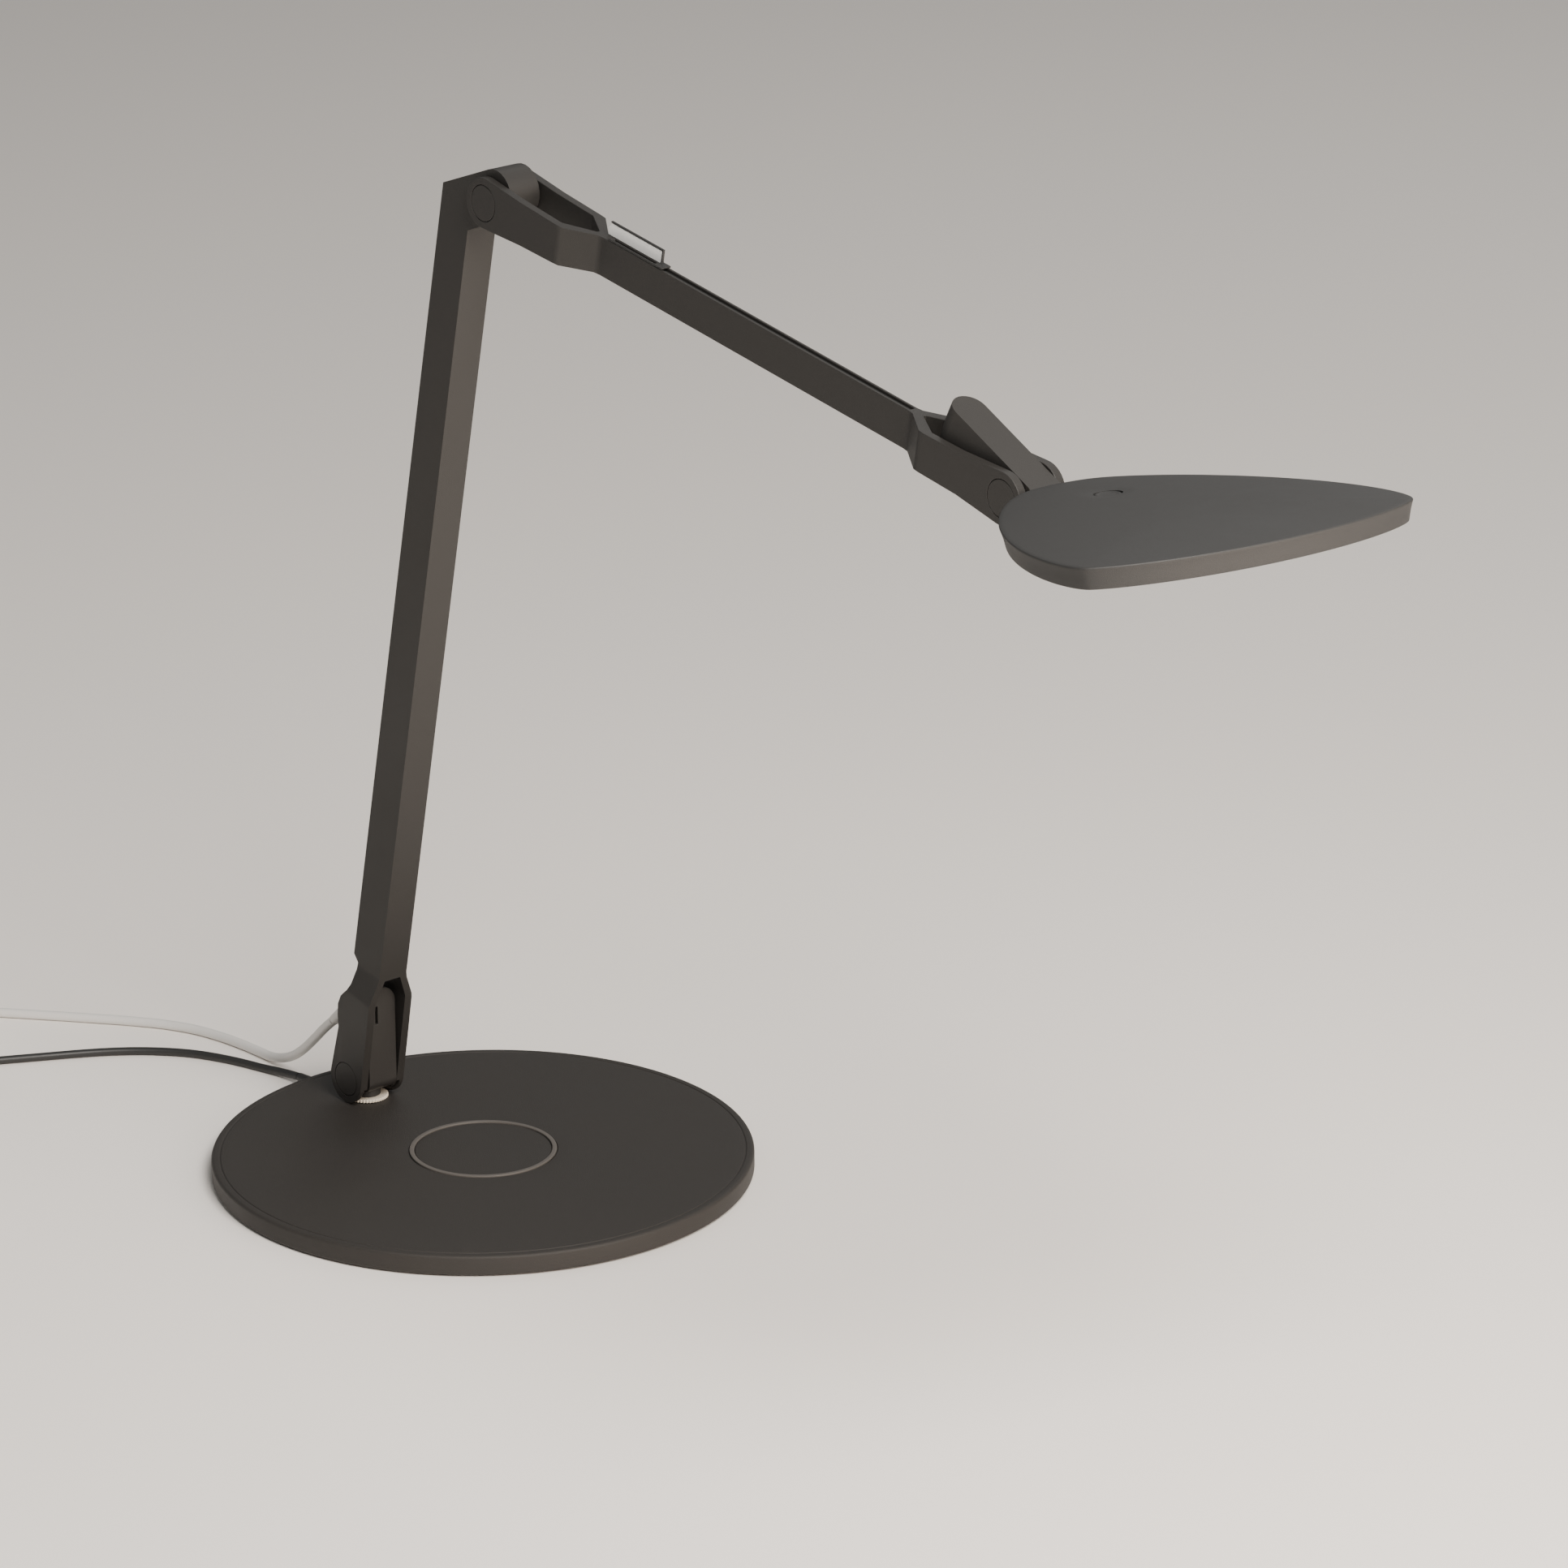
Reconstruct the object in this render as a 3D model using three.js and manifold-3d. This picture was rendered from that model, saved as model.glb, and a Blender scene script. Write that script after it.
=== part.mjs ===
// Swing arm desk lamp with a round weighted base that charges a phone.
// Millimetres, +Z up. The origin is the middle of the base's underside.
// +X runs from the arm's foot towards the lamp head, and the arms fold in the XZ plane.
import * as THREE from 'three';
import { mergeVertices } from 'three/addons/utils/BufferGeometryUtils.js';
import Module from 'manifold-3d';

// Base
const BASE_R = 114;
const BASE_TOP = 9.2;
const BASE_BEVEL = 1.4;
const WEIGHT_R = 110;
const PAD_R = 107;
const CHARGE_RING_R = 31;
const SWIVEL_X = -78.7;

// Pivots of the arms, in the XZ plane
const BASE_PIVOT = [-78.7, 20.2];
const ELBOW_PIVOT = [25.4, 425.3];
const HEAD_PIVOT = [327.3, 372.2];

// Arm sections: half widths along Y
const BAR_HALF = 7.3;
const BLADE_HALF = 2.4;
const BLADE_RISE = 7.9;
const SLOT_HALF = 7.9;
const FORK_HALF = 11.6;
const TONGUE_HALF = 7.3;
const CHANNEL_HALF = 5.1;
const FORK_R = 10.4;
const PIN_R = 2.5;
const CAP_R = 7.4;
const CAP_DEPTH = 1.2;
const LOWER_LEAN = 78.5;

// Lamp head: a rounded triangle, swivelled on the neck
const HEAD_TILT = 7;
const HEAD_TURN = -10.5;
const HEAD_SWIVEL_AT = 26;
const HEAD_RIM = 4.5;
const HEAD_DEPTH = 8.5;
const HEAD_CENTRE = 71.1;
const HEAD_MEAN_R = 74.4;
const HEAD_LOBES = { 2: 0.8, 3: -9.4, 4: -1.35, 5: 0.5, 6: -0.7 };
const BUTTON_AT = 25;

// Cords
const LAMP_CORD_D = 4.2;
const BASE_CORD_D = 3.5;
const LAMP_COIL = { at: [-286.2, -94.6], rIn: 18.8, rOut: 31.6, high: 21.2 };
const BASE_COIL = { at: [-235, -140], rIn: 15.9, rOut: 26.6, high: 17.7 };

const DEG = Math.PI / 180;
const wasm = await Module();
wasm.setup();

// ---------- solids ----------

function bare(geometry) {
  const g = geometry.index ? geometry.toNonIndexed() : geometry.clone();
  const out = new THREE.BufferGeometry();
  out.setAttribute('position', g.getAttribute('position'));
  return mergeVertices(out, 1e-4);
}

function solid(geometry) {
  const g = bare(geometry);
  const tris = new Uint32Array(g.index.array);
  const made = () => new wasm.Manifold(new wasm.Mesh({
    numProp: 3,
    vertProperties: new Float32Array(g.attributes.position.array),
    triVerts: tris,
  }));
  let s = made();
  if (s.volume() < 0) {
    for (let i = 0; i < tris.length; i += 3) {
      const t = tris[i + 1];
      tris[i + 1] = tris[i + 2];
      tris[i + 2] = t;
    }
    s = made();
  }
  return s;
}

function geometryOf(s) {
  const m = s.getMesh();
  const g = new THREE.BufferGeometry();
  const p = new Float32Array(m.numVert * 3);
  for (let i = 0; i < m.numVert; i++) {
    for (let k = 0; k < 3; k++) p[3 * i + k] = m.vertProperties[m.numProp * i + k];
  }
  g.setAttribute('position', new THREE.BufferAttribute(p, 3));
  g.setIndex(new THREE.BufferAttribute(new Uint32Array(m.triVerts), 1));
  const flat = g.toNonIndexed();
  flat.computeVertexNormals();
  return flat;
}

const cut = (a, ...rest) => rest.reduce((s, b) => s.subtract(b), a);
const join = (a, ...rest) => rest.reduce((s, b) => s.add(b), a);

function shapeOf(points) {
  return new THREE.Shape(points.map(([x, y]) => new THREE.Vector2(x, y)));
}

// A plate in the XZ plane between two values of Y.
function plateXZ(points, y0, y1) {
  const g = new THREE.ExtrudeGeometry(shapeOf(points), { depth: y1 - y0, bevelEnabled: false });
  g.rotateX(Math.PI / 2);
  g.translate(0, y1, 0);
  return solid(g);
}

// A plate in the XY plane between two heights.
function plateXY(points, z0, z1) {
  const g = new THREE.ExtrudeGeometry(shapeOf(points), { depth: z1 - z0, bevelEnabled: false });
  g.translate(0, 0, z0);
  return g;
}

function block(x0, x1, y0, y1, z0, z1) {
  const g = new THREE.BoxGeometry(x1 - x0, y1 - y0, z1 - z0);
  g.translate((x0 + x1) / 2, (y0 + y1) / 2, (z0 + z1) / 2);
  return solid(g);
}

// A turned piece: the profile is a list of [radius, height], turned about an axis along Y.
function turnedY(profile, segments = 32) {
  const points = profile.map(([r, h]) => new THREE.Vector2(r, h));
  return new THREE.LatheGeometry(points, segments);
}

// The same about an axis along Z.
function turnedZ(profile, segments = 32) {
  const g = turnedY(profile, segments);
  g.rotateX(Math.PI / 2);
  return g;
}

function ringProfile(rIn, rOut, h0, h1) {
  return [[rIn, h0], [rOut, h0], [rOut, h1], [rIn, h1], [rIn, h0]];
}

function discProfile(r, h0, h1) {
  return [[0, h0], [r, h0], [r, h1], [0, h1]];
}

// A disc or ring on a pivot, between two values of Y.
function onPivot([x, z], profile, segments = 32) {
  const g = turnedY(profile, segments);
  g.translate(x, 0, z);
  return solid(g);
}

function upright(x, y, profile, segments = 32) {
  const g = turnedZ(profile, segments);
  g.translate(x, y, 0);
  return solid(g);
}

// ---------- frames along the arms ----------

// u runs along the arm from its pivot, w across it in the XZ plane, side +1 or -1.
function armFrame([x0, z0], degrees, side) {
  const c = Math.cos(degrees * DEG);
  const s = Math.sin(degrees * DEG);
  return {
    point: (u, w) => [x0 + u * c - side * w * s, z0 + u * s + side * w * c],
    // A plan outline in (u, y), carried through the whole depth of the arm.
    plan: (outline, w0 = -60, w1 = 60) => {
      const g = plateXY(outline, w0, w1);
      if (side < 0) g.rotateX(Math.PI);
      g.rotateY(-degrees * DEG);
      g.translate(x0, 0, z0);
      return solid(g);
    },
    side: (outline, y0, y1) => plateXZ(outline.map(([u, w]) => [
      x0 + u * c - side * w * s,
      z0 + u * s + side * w * c,
    ]), y0, y1),
  };
}

function arc(cx, cy, r, from, to, steps) {
  const out = [];
  for (let i = 0; i <= steps; i++) {
    const a = (from + (to - from) * i / steps) * DEG;
    out.push([cx + r * Math.cos(a), cy + r * Math.sin(a)]);
  }
  return out;
}

// A plan outline that is the same on both sides of the arm's middle.
function mirrored(half) {
  return [...half, ...half.map(([u, y]) => [u, -y]).reverse()];
}

// Pivot bore, cap seats and pin clearance through a fork.
function pivotCuts(pivot) {
  return [
    onPivot(pivot, discProfile(PIN_R + 0.2, -20, 20), 24),
    onPivot(pivot, discProfile(CAP_R + 0.15, FORK_HALF - CAP_DEPTH, 20)),
    onPivot(pivot, discProfile(CAP_R + 0.15, -20, -FORK_HALF + CAP_DEPTH)),
  ];
}

// ---------- colours ----------

const paint = new THREE.MeshStandardMaterial({ color: 0x2f2d2b, roughness: 0.55, metalness: 0.25 });
const darkPlastic = new THREE.MeshStandardMaterial({ color: 0x1c1b1a, roughness: 0.6, metalness: 0 });
const headPaint = new THREE.MeshStandardMaterial({ color: 0x3c3c3b, roughness: 0.5, metalness: 0.2 });
const steel = new THREE.MeshStandardMaterial({ color: 0x8f9092, roughness: 0.35, metalness: 1 });
const castSteel = new THREE.MeshStandardMaterial({ color: 0x5b5c5e, roughness: 0.6, metalness: 0.9 });
const pale = new THREE.MeshStandardMaterial({ color: 0xd8d2c4, roughness: 0.45, metalness: 0 });
const ringGrey = new THREE.MeshStandardMaterial({ color: 0x77726a, roughness: 0.5, metalness: 0.1 });
const rubber = new THREE.MeshStandardMaterial({ color: 0x151515, roughness: 0.9, metalness: 0 });
const whitePvc = new THREE.MeshStandardMaterial({ color: 0xd6d5d2, roughness: 0.4, metalness: 0 });
const blackPvc = new THREE.MeshStandardMaterial({ color: 0x191919, roughness: 0.5, metalness: 0 });
const boardGreen = new THREE.MeshStandardMaterial({ color: 0x2b5a36, roughness: 0.6, metalness: 0 });
const copper = new THREE.MeshStandardMaterial({ color: 0xb36b3c, roughness: 0.4, metalness: 0.9 });
const diffuserWhite = new THREE.MeshStandardMaterial({ color: 0xefece4, roughness: 0.5, metalness: 0 });
const tagWhite = new THREE.MeshStandardMaterial({ color: 0xe9e8e6, roughness: 0.5, metalness: 0 });
const nylon = new THREE.MeshStandardMaterial({ color: 0xcfcabc, roughness: 0.5, metalness: 0 });

const lamp = new THREE.Group();

function add(name, s, material, parent = lamp) {
  const mesh = new THREE.Mesh(geometryOf(s), material);
  mesh.name = name;
  parent.add(mesh);
  return s;
}

// ---------- base ----------

const EXIT_H = 3.6;

add('base_foot_pad', upright(0, 0, discProfile(PAD_R, 0, 1), 48), rubber);

const weight = cut(
  upright(0, 0, discProfile(WEIGHT_R, 1.3, 7.0), 48),
  upright(0, 0, discProfile(27, 3.4, 8), 40),
  upright(SWIVEL_X, 0, discProfile(7.2, 0, 5.2), 24),
  upright(SWIVEL_X, 0, discProfile(4.4, 5, 8), 24),
  block(-120, SWIVEL_X - 9, -4.5, 4.5, 3.4, 8),
  block(SWIVEL_X - 12, SWIVEL_X - 9, -13, 4.5, 3.4, 8),
  block(SWIVEL_X - 12, -20, -13, -10, 3.4, 8),
  block(-120, -104, -3.2, 3.2, 0.6, 8),
);
add('base_weight', weight, castSteel);

const coverProfile = [
  [0, 7.3], [WEIGHT_R + 0.5, 7.3], [WEIGHT_R + 0.5, 0.7], [BASE_R - 0.7, 0.7], [BASE_R, 1.4],
  [BASE_R, BASE_TOP - BASE_BEVEL], [BASE_R - 0.45, BASE_TOP - 0.4], [BASE_R - BASE_BEVEL, BASE_TOP],
  [BASE_R - 3.2, BASE_TOP], [BASE_R - 3.4, BASE_TOP - 0.35], [BASE_R - 3.9, BASE_TOP - 0.35],
  [BASE_R - 4.1, BASE_TOP], [0, BASE_TOP],
];
const cover = cut(
  upright(0, 0, coverProfile, 64),
  upright(0, 0, ringProfile(CHARGE_RING_R - 2.3, CHARGE_RING_R + 0.3, 8.6, 12), 48),
  upright(SWIVEL_X, 0, discProfile(4.4, 0, 12), 24),
  block(-120, -105, -3.6, 3.6, EXIT_H - 2.9, EXIT_H + 3.1),
);
add('base_cover', cover, paint);

add('charging_ring', upright(0, 0, ringProfile(CHARGE_RING_R - 2, CHARGE_RING_R, 8.9, 9.8), 48), ringGrey);
add('charging_coil', upright(0, 0, ringProfile(8, 21, 5.4, 6.9), 32), copper);
add('charger_board', block(-14, 14, -11, 11, 3.7, 5.1), boardGreen);

// ---------- swivel and upright bracket on the base ----------

const discTop = 10.8;
const disc = [];
for (let i = 0; i < 72; i++) {
  const r = i % 2 ? 8.9 : 8.5;
  disc.push([r * Math.cos(i * 5 * DEG), r * Math.sin(i * 5 * DEG)]);
}
const discBody = plateXY(disc, 9.5, discTop);
discBody.translate(SWIVEL_X, 0, 0);
add('swivel_disc', cut(
  join(solid(discBody), upright(SWIVEL_X, 0, discProfile(6.2, 10, 14.7), 32)),
  upright(SWIVEL_X, 0, discProfile(4.3, 5, 15), 24),
), pale);

add('swivel_bolt', upright(SWIVEL_X, 0, [
  [0, 1.7], [6, 1.7], [6, 4.7], [4, 4.7], [4, 16.6], [0, 16.6],
], 24), steel);

const [bx, bz] = BASE_PIVOT;
const bracketSide = [
  ...arc(bx - 5.5, 17.9, 2.9, 180, 270, 4),
  ...arc(bx + 6.4, 19.8, 4.8, 270, 360, 6),
  [bx + 11.2, bz + 42],
  [bx + 4.5, bz + 42],
  [bx - 3.5, bz + 39.5],
  ...arc(bx - 6.4, bz + 30, 3, 110, 180, 4),
];
const bracketFront = [
  [-TONGUE_HALF, 0], [TONGUE_HALF, 0],
  ...arc(0, bz + 42 - TONGUE_HALF, TONGUE_HALF, 0, 180, 14),
].map(([y, z]) => [z, y]);
const bracketEnd = plateXY(bracketFront, -40, 40);
bracketEnd.rotateY(-Math.PI / 2);
bracketEnd.translate(bx, 0, 0);
const RELIEF_AT = [bx - 9.3, bz + 35];
const bracket = cut(
  plateXZ(bracketSide, -TONGUE_HALF, TONGUE_HALF).intersect(solid(bracketEnd)),
  onPivot(BASE_PIVOT, discProfile(PIN_R + 0.2, -20, 20), 24),
  upright(SWIVEL_X, 0, discProfile(4.3, 5, 16.9), 24),
  block(bx + 9, bx + 14, -3.6, -2.2, bz + 26, bz + 34),
);

// Strain relief of the lamp's cord: a tapered sleeve that leaves the bracket backwards and down.
const reliefDown = 40;
function sleeve(from, degreesDown, profile, segments = 16) {
  const g = turnedZ(profile, segments);
  g.rotateY(-(90 + degreesDown) * DEG);
  g.translate(from[0], 0, from[1]);
  return solid(g);
}
add('base_bracket', cut(
  bracket,
  sleeve([bx - 4, bz + 33], reliefDown, discProfile(3.7, -2.5, 20)),
), paint);
const lampRelief = sleeve([bx - 4, bz + 33], reliefDown, [
  [0, -2.2], [3.4, -2.2], [3.4, 7.5], [2.9, 14], [2.4, 24], [0, 24],
]);
add('lamp_cord_relief', lampRelief, whitePvc);

// ---------- pivots ----------

function pivotHardware(prefix, pivot) {
  add(prefix + '_pin', onPivot(pivot, discProfile(PIN_R, -10.2, 10.2), 20), steel);
  for (const [side, s] of [['right', -1], ['left', 1]]) {
    const face = FORK_HALF;
    const cap = [
      [0, face - 1], [CAP_R - 0.1, face - 1], [CAP_R - 0.1, face - 0.2], [CAP_R - 0.3, face], [0, face],
    ];
    add(prefix + '_cap_' + side, onPivot(pivot, cap.map(([r, h]) => [r, s * h]), 32), paint);
    const washer = ringProfile(PIN_R + 0.3, 6.2, TONGUE_HALF + 0.1, SLOT_HALF - 0.1);
    add(prefix + '_washer_' + side, onPivot(pivot, washer.map(([r, h]) => [r, s * h]), 24), nylon);
  }
}
pivotHardware('base_pivot', BASE_PIVOT);
pivotHardware('elbow_pivot', ELBOW_PIVOT);
pivotHardware('head_pivot', HEAD_PIVOT);

// ---------- lower arm ----------

const lower = armFrame(BASE_PIVOT, LOWER_LEAN, -1);
const lowerSide = [
  ...arc(0, 0, FORK_R, 150, 268, 14),
  [21.6, -8.7], [27, -10.2], [32, -10.8], [36.5, -9.6], [41, -6.2], [44, -5.3], [53.6, -5.9], [56.4, -9.1],
  [413.6, -9.1],
  [430, 17.2],
  ...arc(421.2, 22.8, 10.4, -32, 148, 12).slice(1),
  [400.1, 9.1],
  [52.7, 9.1], [39.9, 9.5], [20, 10],
  ...arc(0, 0, FORK_R, 90, 150, 6).slice(0, -1),
];
const lowerPlan = mirrored([
  [-20, FORK_HALF], [39.5, FORK_HALF], [41.5, FORK_HALF - 0.3],
  [50.5, BAR_HALF + 0.4], [53, BAR_HALF], [450, BAR_HALF],
]);
const lowerSlot = mirrored([[-20, SLOT_HALF], [41, SLOT_HALF], [51, CHANNEL_HALF - 1]]);
const nearBase = onPivot(BASE_PIVOT, ringProfile(9.1, 30, -9.7, 9.7), 48);
const lowerArm = cut(
  lower.side(lowerSide, -20, 20).intersect(lower.plan(lowerPlan)),
  lower.plan(lowerSlot),
  // channel for the wires, open to the rear under the cover strip
  lower.side([[49, -20], [396, -20], [396, 6.9], [49, 6.9]], -CHANNEL_HALF, CHANNEL_HALF),
  // rebate on the fork's inner edges, clear of the swivel disc
  nearBase.intersect(lower.side([[-14, -14], [-1, -14], [-1, 14], [-14, 14]], -12, 12)),
  ...pivotCuts(BASE_PIVOT),
  onPivot(ELBOW_PIVOT, discProfile(PIN_R + 0.2, -20, 20), 24),
);
add('lower_arm', lowerArm, paint);
add('lower_arm_cover', lower.side(
  [[57, -8.8], [395.4, -8.8], [395.4, -7.6], [57, -7.6]],
  -CHANNEL_HALF + 0.2, CHANNEL_HALF - 0.2,
), darkPlastic);

// ---------- upper arm ----------

const upperFall = Math.atan2(HEAD_PIVOT[1] - ELBOW_PIVOT[1], HEAD_PIVOT[0] - ELBOW_PIVOT[0]) / DEG;
const upperLength = Math.hypot(HEAD_PIVOT[0] - ELBOW_PIVOT[0], HEAD_PIVOT[1] - ELBOW_PIVOT[1]);
const upper = armFrame(ELBOW_PIVOT, upperFall, 1);
const upperSide = [
  ...arc(0, 0, FORK_R, 88, 272, 20),
  [24.3, -8.7], [45, -8.1], [62, -BLADE_RISE], [245, -BLADE_RISE], [264, -8], [283, -8.3],
  ...arc(upperLength, 0, FORK_R, -96, 96, 20),
  [281, 8.3], [264, 8], [245, BLADE_RISE], [62, BLADE_RISE], [45, 8.1], [21.6, 8.9],
];
const upperPlan = mirrored([
  [-20, FORK_HALF], [45, FORK_HALF], [48, FORK_HALF - 0.3], [60, BLADE_HALF + 0.4], [63, BLADE_HALF],
  [243, BLADE_HALF], [246, BLADE_HALF + 0.4], [259, FORK_HALF - 0.3], [262, FORK_HALF], [340, FORK_HALF],
]);
// The forks' gaps close in a V towards the thin blade between them.
const elbowSlot = mirrored([[-20, SLOT_HALF], [44, SLOT_HALF], [57, 0.6]]);
const headSlot = mirrored([[250, 0.6], [263, SLOT_HALF], [340, SLOT_HALF]]);
const grooveHalf = 1.25;
const upperArm = cut(
  upper.side(upperSide, -20, 20).intersect(upper.plan(upperPlan)),
  upper.plan(elbowSlot),
  upper.plan(headSlot),
  upper.side([[66, 4.6], [243, 4.6], [243, 20], [66, 20]], -grooveHalf, grooveHalf),
  ...pivotCuts(ELBOW_PIVOT),
  ...pivotCuts(HEAD_PIVOT),
);
add('upper_arm', upperArm, paint);
add('upper_arm_cover', upper.side(
  [[66.5, 4.9], [242.5, 4.9], [242.5, 6.9], [66.5, 6.9]],
  -grooveHalf + 0.2, grooveHalf - 0.2,
), darkPlastic);

// Blank tab that stands on the blade's left edge near the elbow, held by a thin dark clip.
const rest = BLADE_RISE + 0.3;
function bar(u0, u1, w0, w1, y0, y1) {
  return upper.side([[u0, w0], [u1, w0], [u1, w1], [u0, w1]], y0, y1);
}
add('label_frame', join(
  bar(93.6, 98.6, rest, rest + 0.7, -BLADE_HALF, BLADE_HALF),
  bar(66, 98.6, rest, rest + 0.7, -BLADE_HALF, -BLADE_HALF + 0.7),
  bar(93.6, 94.3, rest, 14.1, 1.4, BLADE_HALF),
  bar(62.4, 94.3, 13.5, 14.1, 1.4, BLADE_HALF),
), darkPlastic);
add('label_tab', upper.side([
  [61.2, rest], [61.2, 11.4], [63, 13.2], [93.3, 13.2], [93.3, rest],
], 1.6, 2.2), tagWhite);

// ---------- neck of the head ----------

const [hx, hz] = HEAD_PIVOT;
const faceDown = -27;
const faceR = 9.8;
const neckFrame = armFrame(HEAD_PIVOT, faceDown, 1);
const headFrame = armFrame(HEAD_PIVOT, HEAD_TILT, 1);
const neckUnder = HEAD_RIM - HEAD_DEPTH;
const toHead = ([x, z]) => {
  const c = Math.cos(HEAD_TILT * DEG);
  const s = Math.sin(HEAD_TILT * DEG);
  return [(x - hx) * c + (z - hz) * s, -(x - hx) * s + (z - hz) * c];
};
const tailTop = neckFrame.point(-45, faceR);
const tailFoot = [tailTop[0] - 3.9, tailTop[1] - 18.6];
const neckSide = [
  toHead(tailTop),
  toHead(tailFoot),
  ...arc(0, 0, 9.6, 232, 268, 4),
  [20, -9.6], [38, -9.6], [38, neckUnder - 0.4], [11.3, neckUnder - 0.4], [11.3, 1.6],
  [9.8, 2.2],
  toHead(neckFrame.point(8.4, faceR)),
];
const neckSolid = cut(
  headFrame.side(neckSide, -12, 12).intersect(headFrame.plan([
    [-60, -TONGUE_HALF], [11, -TONGUE_HALF], [17, -9.2],
    ...arc(HEAD_SWIVEL_AT, 0, 10, -68, 68, 12),
    [17, 9.2], [11, TONGUE_HALF], [-60, TONGUE_HALF],
  ])),
  // round free end of the tail, square to its flat face
  neckFrame.plan([
    [-80, -20], [-45 + TONGUE_HALF, -20], [-45 + TONGUE_HALF, -TONGUE_HALF],
    ...arc(-45 + TONGUE_HALF, 0, TONGUE_HALF, 270, 90, 14),
    [-45 + TONGUE_HALF, 20], [-80, 20],
  ]),
  onPivot(HEAD_PIVOT, discProfile(PIN_R + 0.2, -20, 20), 24),
  headFrame.plan(arc(HEAD_SWIVEL_AT, 0, 3.2, 0, 350, 20), -20, 20),
);
add('head_neck', neckSolid, paint);

// ---------- lamp head ----------

// Everything here is made with the swivel axis as its Z axis, and then tilted and turned into place.
const head = new THREE.Group();
const [sx, sz] = headFrame.point(HEAD_SWIVEL_AT, 0);
head.position.set(sx, 0, sz);
head.rotation.set(0, -HEAD_TILT * DEG, HEAD_TURN * DEG, 'YZX');
lamp.add(head);

// The outline as a support function: how far out its tangent lies in each direction.
// Drawing it in by a constant keeps a wall of even thickness.
function headOutline(inset, steps, shrink = 1) {
  const out = [];
  for (let i = 0; i < steps; i++) {
    const a = i * 2 * Math.PI / steps;
    let h = HEAD_MEAN_R - inset;
    let slope = 0;
    for (const [k, size] of Object.entries(HEAD_LOBES)) {
      h += size * Math.cos(k * a);
      slope -= k * size * Math.sin(k * a);
    }
    out.push([
      HEAD_CENTRE + shrink * (h * Math.cos(a) - slope * Math.sin(a)),
      shrink * (h * Math.sin(a) + slope * Math.cos(a)),
    ]);
  }
  return out;
}

// A closed stack of outlines, each given as [inset, height, shrink].
function headStack(levels, steps = 72) {
  const verts = [];
  const tris = [];
  for (const [inset, z, shrink] of levels) {
    for (const [x, y] of headOutline(inset, steps, shrink)) verts.push(x, y, z);
  }
  const last = levels.length - 1;
  const low = verts.length / 3;
  verts.push(HEAD_CENTRE, 0, levels[0][1]);
  verts.push(HEAD_CENTRE, 0, levels[last][1]);
  for (let i = 0; i < steps; i++) {
    const j = (i + 1) % steps;
    for (let k = 0; k < last; k++) {
      const a = k * steps;
      const b = a + steps;
      tris.push(a + i, a + j, b + j, a + i, b + j, b + i);
    }
    tris.push(low, j, i);
    tris.push(low + 1, last * steps + i, last * steps + j);
  }
  const g = new THREE.BufferGeometry();
  g.setAttribute('position', new THREE.BufferAttribute(new Float32Array(verts), 3));
  g.setIndex(tris);
  return solid(g);
}

const headLow = HEAD_RIM - HEAD_DEPTH;
const crown = (shrink) => HEAD_RIM + 2.6 * (1 - shrink ** 2);
const shellOuter = headStack([
  [2.3, headLow], [1.9, headLow + 0.4], [0.25, HEAD_RIM - 1.2], [0, HEAD_RIM - 0.5], [0.5, HEAD_RIM],
  ...[0.86, 0.7, 0.5, 0.3].map((shrink) => [0.5, crown(shrink), shrink]),
]);
const keepRear = 12.5;
const pocket = cut(
  headStack([[4.4, headLow - 3], [4.2, HEAD_RIM - 2.2]]),
  block(-40, keepRear, -60, 60, -20, 20),
);
const shell = cut(
  shellOuter,
  pocket,
  upright(0, 0, discProfile(3.3, -20, 3.4), 24),
  upright(BUTTON_AT, 0, discProfile(5.5, -20, 20), 32),
);
add('head_shell', shell, headPaint, head);

add('head_swivel_pin', upright(0, 0, [
  [0, neckUnder - 6.6], [5.2, neckUnder - 6.6], [5.2, neckUnder - 6.0],
  [2.9, neckUnder - 6.0], [2.9, 3.1], [0, 3.1],
], 24), steel, head);

const panelCut = block(-40, keepRear + 0.4, -60, 60, -20, 20);
const boardHole = upright(BUTTON_AT, 0, discProfile(8, -20, 20), 32);
const panel = (inset, low, high) => cut(
  headStack([[inset, headLow + low], [inset, headLow + high]], 48),
  panelCut,
);
add('head_diffuser', panel(4.8, 0.6, 2.1), diffuserWhite, head);
add('head_light_guide', panel(5.4, 2.3, 4.1), diffuserWhite, head);
add('led_board', cut(panel(5.4, 4.4, 5.5), boardHole), boardGreen, head);

const buttonTop = crown(0.62) - 0.15;
add('head_button', upright(BUTTON_AT, 0, [
  [0, headLow + 5.3], [3, headLow + 5.3], [3, HEAD_RIM - 2.6], [5.2, HEAD_RIM - 2],
  [5.2, buttonTop - 0.3], [4.8, buttonTop], [0, buttonTop],
], 32), headPaint, head);

// ---------- cords ----------

function tube(points, diameter, sides, steps) {
  const path = new THREE.CatmullRomCurve3(points.map((p) => new THREE.Vector3(...p)), false, 'centripetal');
  const section = shapeOf(arc(0, 0, diameter / 2, 0, 360 - 360 / sides, sides - 1));
  return solid(new THREE.ExtrudeGeometry(section, { steps, extrudePath: path, bevelEnabled: false }));
}

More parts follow.
